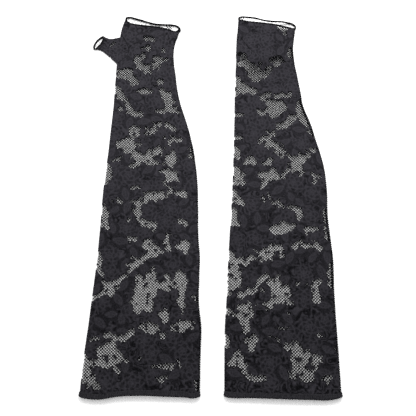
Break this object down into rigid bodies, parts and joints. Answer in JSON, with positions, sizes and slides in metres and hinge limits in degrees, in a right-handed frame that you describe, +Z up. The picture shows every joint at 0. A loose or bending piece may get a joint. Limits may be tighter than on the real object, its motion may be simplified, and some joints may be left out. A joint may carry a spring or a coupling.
{
  "type": "fingerless opera gloves",
  "caption": "Long fingerless lace gloves laid flat side by side, each a tapered see-through sleeve with its own thumb sleeve, corded hand edge and elasticated arm hem.",
  "frame": {"origin": "the middle of the pair's footprint, on the surface that it lies on", "axes": "+X from the left glove to the right glove as laid out, +Y from the arm hems to the hand openings, +Z up out of the surface"},
  "size_m": [0.2616, 0.4426, 0.0178],
  "materials": {
    "sleeve": "stretch lace, matt",
    "thumb_sleeve": "stretch lace, matt",
    "side_seam": "overlocked thread",
    "thumb_seam": "overlocked thread",
    "hand_edging": "corded picot thread",
    "thumb_edging": "corded picot thread",
    "arm_hem": "turned double lace",
    "hem_elastic": "covered elastic"
  },
  "bodies": {
    "left_glove": {"left_sleeve": "sleeve", "left_side_seam": "side_seam", "left_thumb_seam": "thumb_seam", "left_hand_edging": "hand_edging", "left_arm_hem": "arm_hem", "left_hem_elastic": "hem_elastic"},
    "right_glove": {"right_sleeve": "sleeve", "right_side_seam": "side_seam", "right_thumb_seam": "thumb_seam", "right_hand_edging": "hand_edging", "right_arm_hem": "arm_hem", "right_hem_elastic": "hem_elastic"},
    "left_thumb": {"left_thumb_sleeve": "thumb_sleeve", "left_thumb_edging": "thumb_edging"},
    "right_thumb": {"right_thumb_sleeve": "thumb_sleeve", "right_thumb_edging": "thumb_edging"}
  },
  "joints": [
    {"name": "left_thumb_fold", "type": "hinge", "parent": "left_glove", "child": "left_thumb", "pos_m": [-0.10657, 0.17648, 0.0073], "axis": [0.026, 0.9997, 0], "range_deg": [0, 165]},
    {"name": "gloves_apart", "type": "slide", "parent": "left_glove", "child": "right_glove", "axis": [1, 0, 0], "range_m": [0, 0.15]},
    {"name": "right_thumb_fold", "type": "hinge", "parent": "right_glove", "child": "right_thumb", "pos_m": [0.03043, 0.17648, 0.0073], "axis": [0.026, 0.9997, 0], "range_deg": [0, 180]}
  ]
}
